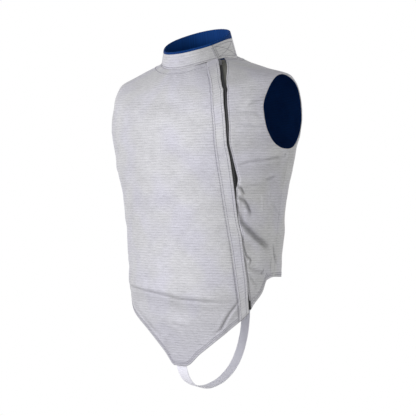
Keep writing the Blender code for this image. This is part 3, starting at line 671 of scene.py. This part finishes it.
class Graph:
    """Short hand for wiring a node tree."""

    def __init__(self, tree):
        self.tree = tree

    def node(self, kind, **settings):
        made = self.tree.nodes.new(kind)
        for name, value in settings.items():
            setattr(made, name, value)
        return made

    def plug(self, socket, value):
        if isinstance(value, bpy.types.NodeSocket):
            self.tree.links.new(value, socket)
        else:
            socket.default_value = value

    def put(self, node, values):
        """Values or links for a node's sockets, by their names or numbers."""
        for label, value in values.items():
            self.plug(node.inputs[label], value)

    def filled(self, kind, *values, **settings):
        """A node whose first sockets take the values, in order."""
        made = self.node(kind, **settings)
        self.put(made, dict(enumerate(values)))
        return made

    def math(self, operation, *values):
        return self.filled("ShaderNodeMath", *values, operation=operation).outputs[0]

    def times(self, first, second):
        return self.math("MULTIPLY", first, second)

    def plus(self, first, second):
        return self.math("ADD", first, second)

    def wave(self, value, pitch):
        return self.math("SINE", self.times(value, 2 * math.pi / pitch))

    def span(self, value, low, high, new_low, new_high):
        return self.filled("ShaderNodeMapRange", value, low, high, new_low, new_high).outputs[0]

    def split(self, vector):
        return self.filled("ShaderNodeSeparateXYZ", vector).outputs

    def noise(self, vector, detail=2.0):
        made = self.node("ShaderNodeTexNoise")
        self.put(made, {"Vector": vector, "Scale": 1.0, "Detail": detail})
        return made.outputs["Fac"]

    def stretched_noise(self, first, first_scale, second, second_scale, detail=2.0):
        """Noise over two coordinates, each with its own scale."""
        place = self.filled("ShaderNodeCombineXYZ", self.times(first, first_scale),
                            self.times(second, second_scale))
        return self.noise(place.outputs[0], detail)

    def mix(self, share, first, second):
        made = self.node("ShaderNodeMix", data_type="RGBA")
        self.put(made, {"Factor": share, 6: first, 7: second})
        return made.outputs[2]

    def scaled(self, color, factor):
        """A colour times a value."""
        made = self.node("ShaderNodeVectorMath", operation="SCALE")
        self.put(made, {0: color, "Scale": factor})
        return made.outputs[0]

    def cloth_place(self):
        return self.node("ShaderNodeUVMap", uv_map="cloth").outputs[0]

    def object_place(self):
        return self.node("ShaderNodeTexCoord").outputs["Object"]

    def surface(self, shader, color, height=None, depth=0.0):
        """The shader's colour, and a bump of that many metres into its normal."""
        self.put(shader, {"Base Color": color})
        if height is not None:
            made = self.node("ShaderNodeBump")
            self.put(made, {"Strength": 1.0, "Distance": depth, "Height": height})
            self.put(shader, {"Normal": made.outputs[0]})


RIB_PITCH, WARP_PITCH, WEFT_PITCH = 5.2 * MM, 1.1 * MM, 0.8 * MM
# Noise mostly lies between these
NOISE_LOW, NOISE_HIGH = 0.3, 0.7


def woven_group():
    """Ribbed weave: thin darker lines between ribs, short slubs, grain, clouds and fine threads."""
    tree = bpy.data.node_groups.new("Ribbed weave", "ShaderNodeTree")
    for label, direction, kind in (("Cloth", "INPUT", "Vector"), ("Shade", "OUTPUT", "Float"),
                                   ("Tint", "OUTPUT", "Float"), ("Height", "OUTPUT", "Float")):
        tree.interface.new_socket(name=label, in_out=direction, socket_type="NodeSocket" + kind)
    graph = Graph(tree)
    across, up, _ = graph.split(graph.node("NodeGroupInput").outputs["Cloth"])

    drift = graph.stretched_noise(across, 7.0, up, 24.0, 1.0)
    phase = graph.plus(graph.times(up, 2 * math.pi / RIB_PITCH), graph.times(drift, 2.4))
    rib = graph.math("MULTIPLY_ADD", graph.math("SINE", phase), 0.5, 0.5)
    line = graph.math("POWER", rib, 4.0)
    slub = graph.stretched_noise(across, 70.0, up, 520.0)
    grain = graph.stretched_noise(across, 430.0, up, 560.0, 1.0)
    cloud = graph.stretched_noise(across, 22.0, up, 26.0)
    patch = graph.stretched_noise(across, 14.0, up, 12.0, 1.0)

    shade = graph.math("MULTIPLY_ADD", line, -0.14, 1.04)
    for noise, swing in ((slub, 0.11), (grain, 0.10), (cloud, 0.05)):
        shade = graph.plus(shade, graph.span(noise, NOISE_LOW, NOISE_HIGH, -swing, swing))
    # Painted shade: the cloth is darker towards the front's tip, below a height of -0.42 m
    shade = graph.math("SUBTRACT", shade, graph.span(up, -0.64, -0.42, 0.10, 0.0))
    tint = graph.math("MAXIMUM", graph.span(patch, 0.42, 0.62, 0.0, 1.0),
                      graph.span(up, -0.60, -0.44, 1.0, 0.0))
    height = graph.math("MULTIPLY_ADD", slub, 0.45, graph.times(line, -0.25))
    threads = graph.times(graph.times(graph.wave(across, WARP_PITCH), graph.wave(up, WEFT_PITCH)), 0.14)
    graph.put(graph.node("NodeGroupOutput"),
              {"Shade": shade, "Tint": tint, "Height": graph.plus(height, threads)})
    return tree


def new_material(name, values):
    """A Principled material with values for its sockets, and its graph."""
    made = bpy.data.materials.new(name)
    made.use_nodes = True
    graph, shader = Graph(made.node_tree), made.node_tree.nodes["Principled BSDF"]
    graph.put(shader, values)
    return made, graph, shader


def woven_cloth(name, values, colors, depth, darkest_painted_shade=1.0):
    """Cloth with the ribbed weave, tinted between two colours and darkened by the painted shade."""
    made, graph, shader = new_material(name, values)
    weave = graph.node("ShaderNodeGroup", node_tree=WEAVE)
    graph.put(weave, {"Cloth": graph.cloth_place()})
    shade = weave.outputs["Shade"]
    # Painted shade: the colour darkens where the painted shade attribute is high
    if darkest_painted_shade < 1.0:
        painted_shade = graph.node("ShaderNodeAttribute", attribute_name="painted_shade").outputs["Fac"]
        shade = graph.times(shade, graph.span(painted_shade, 0.0, 1.0, 1.0, darkest_painted_shade))
    color = graph.mix(weave.outputs["Tint"], *colors)
    graph.surface(shader, graph.scaled(color, shade), weave.outputs["Height"], depth)
    return made


def webbing_cloth():
    """Lavender-white elastic webbing with fine ribs across and raised lengthwise lines."""
    made, graph, shader = new_material("webbing", {"Roughness": 0.8, "Sheen Weight": 0.5})
    across, along, _ = graph.split(graph.cloth_place())
    rib, line = graph.wave(along, 1.4 * MM), graph.wave(across, 2.1 * MM)
    speck = graph.stretched_noise(across, 700.0, along, 400.0)
    shade = graph.plus(graph.span(speck, NOISE_LOW, NOISE_HIGH, 0.95, 1.04), graph.times(rib, 0.02))
    color = graph.node("ShaderNodeRGB").outputs[0]
    color.default_value = (0.94, 0.93, 0.99, 1)
    height = graph.plus(graph.times(rib, 0.5), graph.times(line, 0.5))
    graph.surface(shader, graph.scaled(color, shade), height, 0.12 * MM)
    return made


def tape_cloth():
    """Charcoal zip tape, darkened to near-black as painted shade and paler olive-grey near its upper end as
    painted light.
    """
    made, graph, shader = new_material("tape", {"Roughness": 0.85})
    x, _, z = graph.split(graph.object_place())
    threads = graph.stretched_noise(x, 900.0, z, 1600.0)
    # Painted light and shade: paler towards the top where the gap is wide, near-black lower down
    color = graph.mix(graph.span(z, -0.085, -0.03, 0.0, 1.0),
                      (0.028, 0.028, 0.030, 1), (0.17, 0.17, 0.15, 1))
    shade = graph.span(threads, NOISE_LOW, NOISE_HIGH, 0.8, 1.2)
    graph.surface(shader, graph.scaled(color, shade), threads, 0.15 * MM)
    return made


def plain(name, values, color, grain, grain_scale=900.0):
    """A plain finish with a little grain in its colour."""
    made, graph, shader = new_material(name, values)
    place = graph.node("ShaderNodeMapping")
    graph.put(place, {"Vector": graph.object_place(), "Scale": (grain_scale,) * 3})
    darker, paler = (tuple(c * (1 + sign * grain) for c in color) + (1.0,) for sign in (-1, 1))
    graph.surface(shader, graph.mix(graph.noise(place.outputs[0]), darker, paler))
    return made


WEAVE = woven_group()
# Silver-grey cloth of metal thread, with faint ribs, slubs, lavender patches and painted shade
METAL_CLOTH = woven_cloth(
    "metal_cloth", {"Roughness": 0.55, "Metallic": 0.2, "Sheen Weight": 0.08, "Sheen Roughness": 0.5},
    ((0.600, 0.598, 0.602, 1), (0.592, 0.586, 0.628, 1)), 0.4 * MM, 0.56)
LINING = woven_cloth("lining_cloth", {"Roughness": 0.7, "Specular IOR Level": 0.08},
                     ((0.003, 0.038, 0.168, 1), (0.004, 0.046, 0.196, 1)), 0.15 * MM)
WEBBING = webbing_cloth()
THREAD = plain("thread", {"Roughness": 0.8}, (0.20, 0.19, 0.24), 0.15)
TAPE = tape_cloth()
TEETH = plain("teeth", {"Roughness": 0.4, "Metallic": 0.3}, (0.085, 0.085, 0.09), 0.1)
METAL = plain("zip_metal", {"Roughness": 0.32, "Metallic": 1.0}, (0.5, 0.5, 0.52), 0.06)
BLACK = plain("black_plastic", {"Roughness": 0.45}, (0.012, 0.012, 0.014), 0.2)


# Cloth pieces


def finish_piece(made, slot, *nodes):
    """The piece stands for its nodes and moves with the vest; its slot is not used."""
    if nodes:
        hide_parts(*nodes)
    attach(made, "vest")
    return made


front_side, back_side = side_edge(-1), side_edge(1)
front_right, back_right = mirrored(front_side), mirrored(back_side, 360.0)

# Each panel: its name and part, the lines it lies between, its columns, its rows below the waist
# and the step of those above
SHELL_PANELS = (
    ("front_cloth", "front", front_right, zip_line(FRONT_EDGE), 150, 84, CLOTH_STEP),
    ("left_front_cloth", "left_front", left_line, front_side, 110, 60, 2 * MM),
    ("back_cloth", "back", back_side, back_right, 170, 16, CLOTH_STEP),
)
LINING_PANELS = (
    ("front_lining", "front", front_right, zip_line(TAPE_RIGHT - TAPE_GAP), 120, 60, 4 * MM),
    ("left_front_lining", "left_front", zip_line(TAPE_LEFT + TAPE_GAP), front_side, 60, 50, 2.5 * MM),
    ("back_lining", "back", back_side, back_right, 100, 10, 5 * MM),
)
front, left_front, back = (
    finish_piece(panel(*row, METAL_CLOTH, CLOTH_WALL), "metal_cloth", row[1]) for row in SHELL_PANELS)
lining_front, lining_left, lining_back = (
    finish_piece(panel(*row, LINING, LINING_WALL, LINING_DEPTH, LINING_SETBACK, LINING_HEM),
                 "lining", "lining_" + row[1]) for row in LINING_PANELS)


def placket_out(share):
    """How far the placket's face stands off the form, from its seam to its free edge."""
    return SEAM_GAP + PLACKET_WALL + PLACKET_LIFT * share ** 1.5


def build_placket():
    """The placket: the front's own edge points moved out, and a free edge that stands off."""
    seam, edge = OPENING["placket_seam"], OPENING["placket_edge"]
    columns, lower_rows = 10, 26
    angle, z = places(seam, edge, columns, lower_rows, top=ZIP_TOP_Z)
    out = placket_out(np.linspace(0.0, 1.0, columns + 1)[None, :])
    face = cloth(angle, z, "placket", out)
    under = cloth(angle, z, "placket", out - PLACKET_WALL)
    return finish_piece(band("placket_cloth", face, under, METAL_CLOTH), "metal_cloth", "placket")


def collar_lines(angle):
    """The collar's base and rim, its directions up and inward, and the metal cloth's dip at the rim."""
    turn = np.radians(angle)
    away = np.stack([np.sin(turn), -np.cos(turn), np.zeros_like(turn)], -1)
    rise = (angle - OVERLAP_RISE_FROM) / (OVERLAP_RISE_TO - OVERLAP_RISE_FROM)
    lift = away * (OVERLAP_LIFT * soft_step(rise))[:, None]
    base = form(angle, 0.0 * angle) + np.array([0.0, 0.0, SEAM_GAP]) + lift
    rim_z = RIM_MIDDLE_Z - RIM_LEAN * np.cos(turn)
    radius = RIM_RADIUS - RIM_DRAWN_IN * bell(angle - RIM_DRAWN_AT, RIM_DRAWN_OVER)
    rim = away * radius[:, None] + np.stack([0 * turn, RIM_Y + 0 * turn, rim_z], -1) + lift
    up = unit(rim - base)
    inward = -square_to(up, away)
    dip = RIM_DIP * bell(angle - RIM_DIP_AT, RIM_DIP_OVER)
    return base, rim, up, inward, dip[:, None]


# The collar lining's section: its depth inwards and its rise, in mm, whether the rise is from the
# rim, and its share of the rim's dip
COLLAR_LINING_SECTION = (
    (1.9, 0.5, False, 0), (1.9, 0.3, True, 1), (0.1, 0.3, True, 1), (0.0, 1.8, True, 0.5),
    (0.1, 3.2, True, 0), (0.8, 4.6, True, 0), (2.0, 4.9, True, 0), (3.1, 4.2, True, 0), (3.1, 0.5, False, 0),
)


def build_collar():
    """The standing collar, one band whose front end laps over the other, and its lining."""
    angle = np.linspace(COLLAR_START, COLLAR_END, 241)
    base, rim, up, inward, dip = collar_lines(angle)
    share = np.linspace(0.0, 1.0, 11)[None, :, None]
    face = base[:, None] + (rim - up * dip - base)[:, None] * share
    back = face + inward[:, None] * COLLAR_WALL
    metal = finish_piece(band("collar_cloth", face[:, ::-1], back[:, ::-1], METAL_CLOTH, True),
                         "metal_cloth", "collar")
    ring = (len(metal.data.vertices) - 2) // len(angle)
    # Painted shadow on the lapping end's edge and its end cap
    at_end = soft_step((angle - COLLAR_END + SHADED_END_FROM) / SHADED_END_OVER)
    mark_painted_shade(metal, np.concatenate([np.repeat(at_end, ring), [0.0, 1.0]]))
    rings = [np.where(from_rim, rim, base) + up * (rise * MM - dips * dip) + inward * depth * MM
             for depth, rise, from_rim, dips in COLLAR_LINING_SECTION]
    blue = tube("collar_lining_cloth", np.stack(rings, 1)[:, ::-1], LINING)
    return metal, finish_piece(blue, "lining", "collar_lining")


def build_strap():
    """The elastic strap, a flat band with round edges through its route's points."""
    route = np.array(STRAP_CM) * np.array([CM, CM, CM, CM, 1.0])
    run = run_along(route[:, :3])
    along = np.linspace(0.0, run[-1], 150)
    x, y, z, width, tilt = (smooth(run, route[:, k])(along) for k in range(5))
    centre = np.stack([x, y, z], -1)
    forward = unit(np.gradient(centre, along, axis=0))
    across = np.stack([np.cos(np.radians(tilt)), 0 * tilt, -np.sin(np.radians(tilt))], -1)
    across = square_to(forward, across)
    thick = np.cross(forward, across) * STRAP_WALL / 2
    share = np.linspace(-0.5, 0.5, 9)[None, :, None]
    middle = centre[:, None] + across[:, None] * width[:, None, None] * share
    return finish_piece(band("strap_webbing", middle - thick[:, None], middle + thick[:, None],
                             WEBBING), "webbing", "crotch_strap")


placket = build_placket()
collar, collar_lining = build_collar()
strap = build_strap()


# Sewing and zip teeth


# Half the stretch over which a row's direction is taken
NEARBY = 0.6 * MM


def along_path(points, out, distance):
    """Places, directions and outward directions at distances along a line on the cloth."""
    run = run_along(points)

    def at(values, where):
        return np.stack([np.interp(where, run, values[:, k]) for k in range(3)], -1)

    ahead = unit(at(points, distance + NEARBY) - at(points, distance - NEARBY))
    return at(points, distance), ahead, square_to(ahead, at(out, distance))


STITCH_PITCH, STITCH_LENGTH, STITCH_HALF_WIDTH = 3.0 * MM, 2.3 * MM, 0.42 * MM
# A stitch's rings: place along it, width and how deep the ring lies, from its middle
STITCH_RINGS = ((-0.5, 0.35, -0.6), (-0.32, 1.0, 0.0), (0.32, 1.0, 0.0), (0.5, 0.35, -0.6))
STITCH_SIDES, STITCH_FLATNESS = 5, 0.8
# How far rows lie off the cloth, and the heights and distances at which they run
STITCH_OUT = 0.15 * MM
HEM_ROWS = (4.5 * MM, 7.5 * MM)
BELOW_COLLAR = -0.5 * CM
LEFT_EDGE_ROW, PLACKET_SEAM_ROW, PLACKET_EDGE_ROW = 3.0 * MM, 1.0 * MM, -4.2 * MM


def sew(name, rows):
    """Rows of stitches as one mesh: each stitch is a short round bar that dips in at both ends."""
    turn = np.arange(STITCH_SIDES) * 2 * math.pi / STITCH_SIDES
    along, width, sink = np.array(STITCH_RINGS).T[..., None]
    side, high = width * np.cos(turn), width * np.sin(turn) * STITCH_FLATNESS + sink
    points = []
    for path, out in rows:
        length = run_along(path)[-1]
        distance = np.arange(STITCH_PITCH / 2, length - STITCH_PITCH / 2, STITCH_PITCH)
        place, ahead, away = (values[:, None, None] for values in along_path(path, out, distance))
        sideways = np.cross(away, ahead)
        stitches = (place + ahead * along[..., None] * STITCH_LENGTH
                    + (sideways * side[..., None] + away * high[..., None]) * STITCH_HALF_WIDTH)
        points.append(stitches.reshape(-1, 3))
    points = np.concatenate(points)
    corner, _, sides = ring_faces(len(STITCH_RINGS), STITCH_SIDES)
    first = np.arange(len(points) // corner.size)[:, None] * corner.size
    # The rings run the other way round here, so the quads are turned over
    sides = (sides[:, [0, 3, 2, 1]] + first[..., None]).reshape(-1, 4)
    ends = np.concatenate([corner[0] + first, corner[-1, ::-1] + first])
    return finish_piece(make(name, points, [sides, ends], THREAD), "metal_cloth")


def row_on(part, angle, z, out=STITCH_OUT):
    """A line on a part's cloth for sewing: its points and their outward directions."""
    angle, z = np.broadcast_arrays(np.asarray(angle, float), np.asarray(z, float))
    return cloth(angle, z, part, out), outward(angle, z)


def hem_row(part, start, end, above):
    """A line a distance above the hem, square to it, for a part's angles."""
    angle = np.linspace(start, end, 400)
    z = HEM(angle)
    along = form(angle, z)
    slope = np.gradient(along[:, 2]) / np.linalg.norm(np.gradient(along, axis=0), axis=1)
    return row_on(part, angle, z + above / np.sqrt(np.maximum(1 - slope ** 2, 0.25)))


def sew_body():
    """The rows along the hem, the placket's seam, the zip's edges and below the collar."""
    seam, edge = OPENING["placket_seam"], OPENING["placket_edge"]
    rows = [hem_row(part, start, end, above) for above in HEM_ROWS for part, start, end in (
        ("front", -89.6, 52.6), ("left_front", 64.6, 89.6), ("back", 92.4, 267.6))]
    z = np.linspace(-52.2, -1.2, 500) * CM
    rows.append(row_on("front", beside(seam(z), z, -SEAM_ROWS_APART), z))
    z = np.linspace(-48.9, -0.7, 500) * CM
    rows.append(row_on("left_front", beside(left_line(z), z, LEFT_EDGE_ROW), z))
    for part, start, end, count in (("front", -89.0, 41.0, 300), ("left_front", 66.0, 90.0, 60),
                                    ("back", 92.0, 268.0, 400)):
        rows.append(row_on(part, np.linspace(start, end, count), BELOW_COLLAR))
    z = np.linspace(-51.4, -0.6, 500) * CM
    for line, aside in ((seam, PLACKET_SEAM_ROW), (edge, PLACKET_EDGE_ROW)):
        angle = beside(line(z), z, aside)
        share = (angle - seam(z)) / (edge(z) - seam(z))
        rows.append(row_on("placket", angle, z, placket_out(share) + STITCH_OUT))
    sew("body_stitching", rows)


def collar_row(angle, share):
    """A line on the collar's face, by angle and by share of its height."""
    angle, share = np.broadcast_arrays(np.asarray(angle, float), np.asarray(share, float))
    base, rim, up, inward, dip = collar_lines(angle)
    return base + (rim - up * dip - base) * share[:, None] - inward * STITCH_OUT, -inward


def sew_collar():
    """The collar's rows, and the box with a cross where its closing patch is sewn on."""
    start, end, low, high = 68.0, 112.0, 0.12, 0.88
    across, up = np.linspace(start, end, 60), np.linspace(low, high, 30)
    slant = np.linspace(low, high, len(across))
    lines = ((np.linspace(end, 422.0, 500), 0.1), (across, low), (across, high), (start, up), (end, up),
             (across, slant), (across, slant[::-1]), (421.5, np.linspace(0.1, 0.92, 30)))
    sew("collar_stitching", [collar_row(angle, share) for angle, share in lines])


TOOTH_PITCH = 2.2 * MM
TOOTH_SIZE = (1.1 * MM, 3.1 * MM, 1.3 * MM)
# How far the two rows of teeth overlap, how deep they lie, and where they stop short of the ends
TEETH_OVERLAP, TEETH_DEPTH, TEETH_MARGIN = 0.7 * MM, 0.85 * MM, 2 * MM


def build_teeth():
    """The closed zip's teeth: two rows of small bars that meet, each row half a step on."""
    z = np.linspace(-48.0, -0.9, 900) * CM
    angle = zip_line(ZIP_CENTRE)(z)
    out = outward(angle, z)
    middle = form(angle, z) - out * TEETH_DEPTH
    length = run_along(middle)[-1]
    cube = np.array([(a, b, c) for a in (-0.5, 0.5) for b in (-0.5, 0.5) for c in (-0.5, 0.5)])
    quads = np.array([(0, 1, 3, 2), (4, 6, 7, 5), (0, 4, 5, 1), (2, 3, 7, 6), (0, 2, 6, 4), (1, 5, 7, 3)])
    shape = cube * TOOTH_SIZE
    points = []
    for sign in (-1, 1):
        first = TEETH_MARGIN + (sign + 1) / 4 * TOOTH_PITCH
        distance = np.arange(first, length - TEETH_MARGIN, TOOTH_PITCH)
        place, ahead, away = (values[:, None] for values in along_path(middle, out, distance))
        sideways = np.cross(ahead, away) * sign
        points.append(place + ahead * shape[:, :1] + away * shape[:, 2:]
                      + sideways * (shape[:, 1:2] + TOOTH_SIZE[1] / 2 - TEETH_OVERLAP))
    points = np.concatenate(points).reshape(-1, 3)
    faces = (quads + np.arange(len(points) // 8)[:, None, None] * 8).reshape(-1, 4)
    made = make("zip_teeth", points, [faces], TEETH, smooth_shading=False)
    finish_piece(made, "zip_teeth", "zip_chain")


sew_body()
sew_collar()
build_teeth()

for node, look in (("zip_tape_right", TAPE), ("zip_tape_left", TAPE), ("zip_box", BLACK),
                   ("zip_slider", METAL), ("zip_pull", METAL)):
    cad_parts[node].material_slots[0].material = look
for node, width in (("zip_box", 0.4), ("zip_slider", 0.15), ("zip_pull", 0.15)):
    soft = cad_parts[node].modifiers.new("Soft edges", "BEVEL")
    soft.width, soft.segments = width * MM, 2

# Surroundings

AIM = Vector((0.0, 0.0, -0.30))
AZIMUTH, ELEVATION = math.radians(38.0), math.radians(0.5)
# The camera's distance, the width that it shows there, and its sensor in mm
DISTANCE, FIELD, SENSOR = 2.6, 0.849, 36.0
# The picture's width in pixels, and where the vest's middle is in it
PICTURE, MIDDLE_AT = 416.0, 203.5
# The studio is brightest a little above the horizon and darker overhead and below
STUDIO_LIGHT, STUDIO_BAND, STUDIO_MIDDLE = 1.02, 0.55, 0.16
KEY_LIGHT, KEY_SIZE, KEY_COLOR = 24.0, 1.4, (0.97, 0.965, 1.06)
FLOOR_Z, FLOOR_HALF = -1.45, 1.5
BACK = Vector((math.sin(AZIMUTH) * math.cos(ELEVATION), -math.cos(AZIMUTH) * math.cos(ELEVATION),
               math.sin(ELEVATION)))
RIGHT = Vector((math.cos(AZIMUTH), math.sin(AZIMUTH), 0.0))
UP = BACK.cross(RIGHT)
KEY_PLACE = BACK * 1.2 - RIGHT * 1.9 + UP * 0.3


def facing_vest(name, data, direction, distance=1.0):
    """A lamp or camera in a direction from the vest's middle, turned towards it."""
    made = bpy.data.objects.new(name, data)
    made.location = AIM + direction * distance
    made.rotation_mode = "QUATERNION"
    made.rotation_quaternion = direction.to_track_quat("Z", "Y")
    bpy.context.scene.collection.objects.link(made)
    return made


def build_surroundings():
    """A pale floor, a white studio lit from round about, and a soft key from the camera's left."""
    scene = bpy.context.scene
    scene.view_settings.view_transform = "Standard"
    world = bpy.data.worlds.new("studio")
    world.use_nodes = True
    graph = Graph(world.node_tree)
    light = world.node_tree.nodes["Background"]
    height = graph.split(graph.node("ShaderNodeTexCoord").outputs["Generated"])[2]
    off = graph.math("MULTIPLY_ADD", height, 1 / STUDIO_BAND, -STUDIO_MIDDLE / STUDIO_BAND)
    band = graph.math("EXPONENT", graph.times(graph.times(off, off), -1.0))
    camera_ray = graph.node("ShaderNodeLightPath").outputs["Is Camera Ray"]
    lit = graph.times(graph.times(band, STUDIO_LIGHT), graph.math("SUBTRACT", 1.0, camera_ray))
    graph.put(light, {"Color": (1, 1, 1, 1), "Strength": graph.plus(lit, camera_ray)})
    scene.world = world

    lamp = bpy.data.lights.new("key", "AREA")
    lamp.size, lamp.energy, lamp.color = KEY_SIZE, KEY_LIGHT, KEY_COLOR
    facing_vest("key", lamp, KEY_PLACE)

    corner = np.array([(-1, -1), (1, -1), (1, 1), (-1, 1)]) * FLOOR_HALF
    points = np.concatenate([corner, np.full((4, 1), FLOOR_Z)], 1)
    pale = plain("floor", {"Roughness": 0.9}, (0.8, 0.8, 0.8), 0.01, 4.0)
    make("floor", points, [np.array([[0, 1, 2, 3]])], pale, smooth_shading=False)

    lens = bpy.data.cameras.new("camera")
    lens.sensor_width = SENSOR
    lens.lens = SENSOR * DISTANCE / FIELD
    lens.shift_x = (PICTURE / 2 - MIDDLE_AT) / PICTURE
    scene.camera = facing_vest("camera", lens, BACK, DISTANCE)


build_surroundings()
